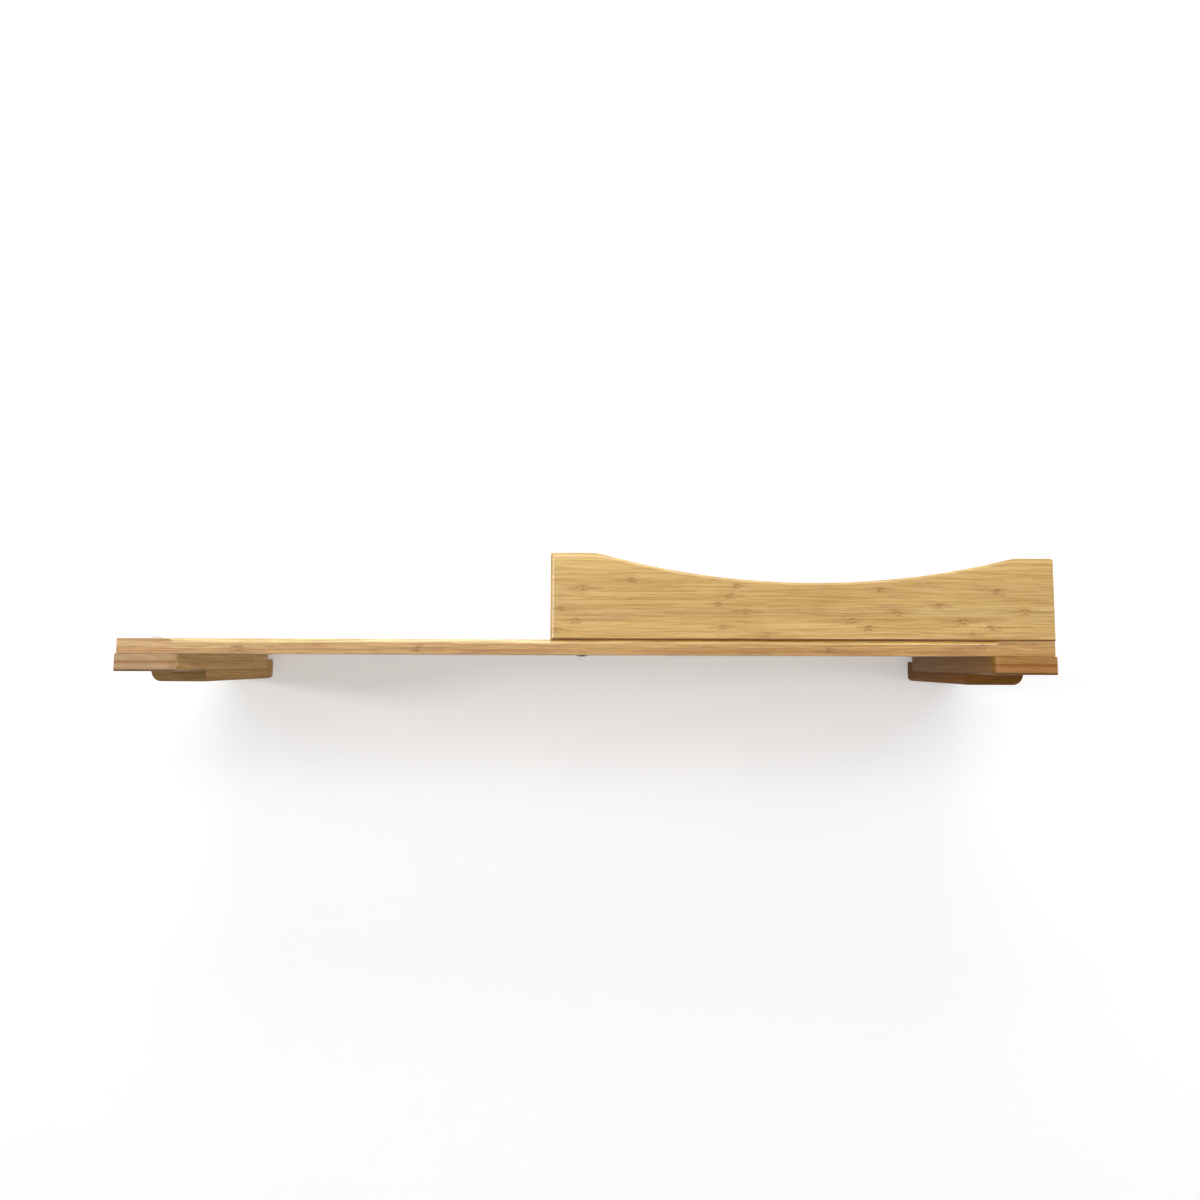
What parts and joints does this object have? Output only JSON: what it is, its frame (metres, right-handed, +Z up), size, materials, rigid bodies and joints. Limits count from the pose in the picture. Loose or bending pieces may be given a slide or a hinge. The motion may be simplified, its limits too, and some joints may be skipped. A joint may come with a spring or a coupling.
{
  "type": "wall-mounted cat bed",
  "caption": "Long bamboo wall shelf for a cat, with a scooped front rail that closes a resting bay at one end, carried by stepped wooden brackets screwed to the wall.",
  "frame": {"origin": "on the wall plane, at the middle of the plank's length and at the height of the plank's underside", "axes": "+Z up, +X along the shelf to the right as seen from the front, +Y into the wall, so the front faces -Y"},
  "size_m": [1.08, 0.315, 0.1528],
  "materials": {
    "bamboo_plank": "satin lacquered bamboo board, grain along the length",
    "bamboo_rail": "satin lacquered bamboo board with growth nodes, grain along the length",
    "bamboo_arm": "satin lacquered laminated bamboo",
    "bamboo_block": "satin lacquered laminated bamboo",
    "beech": "plain turned dowel",
    "steel": "bright plated fastener",
    "dark_steel": "dark plated fastener",
    "zinc_steel": "yellowish zinc plated fastener"
  },
  "bodies": {
    "root": {"shelf_plank": "bamboo_plank", "front_rail": "bamboo_rail", "rail_screw_left": "dark_steel", "rail_screw_right": "steel", "rail_dowel_left": "beech", "rail_dowel_middle": "beech", "rail_dowel_right": "beech", "left_arm": "bamboo_arm", "left_lower_block": "bamboo_block", "left_wall_plate": "bamboo_block", "left_wall_screw_outer": "zinc_steel", "left_wall_screw_inner": "zinc_steel", "left_lap_screw_outer": "steel", "left_lap_screw_inner": "steel", "left_block_screw_front": "steel", "left_block_screw_rear": "steel", "left_deck_bolt_front": "steel", "left_deck_bolt_rear": "steel", "left_insert_front": "zinc_steel", "left_insert_rear": "zinc_steel", "right_arm": "bamboo_arm", "right_lower_block": "bamboo_block", "right_wall_plate": "bamboo_block", "right_wall_screw_outer": "zinc_steel", "right_wall_screw_inner": "zinc_steel", "right_lap_screw_outer": "steel", "right_lap_screw_inner": "steel", "right_block_screw_front": "steel", "right_block_screw_rear": "steel", "right_deck_bolt_front": "steel", "right_deck_bolt_rear": "steel", "right_insert_front": "zinc_steel", "right_insert_rear": "zinc_steel"}
  },
  "joints": []
}
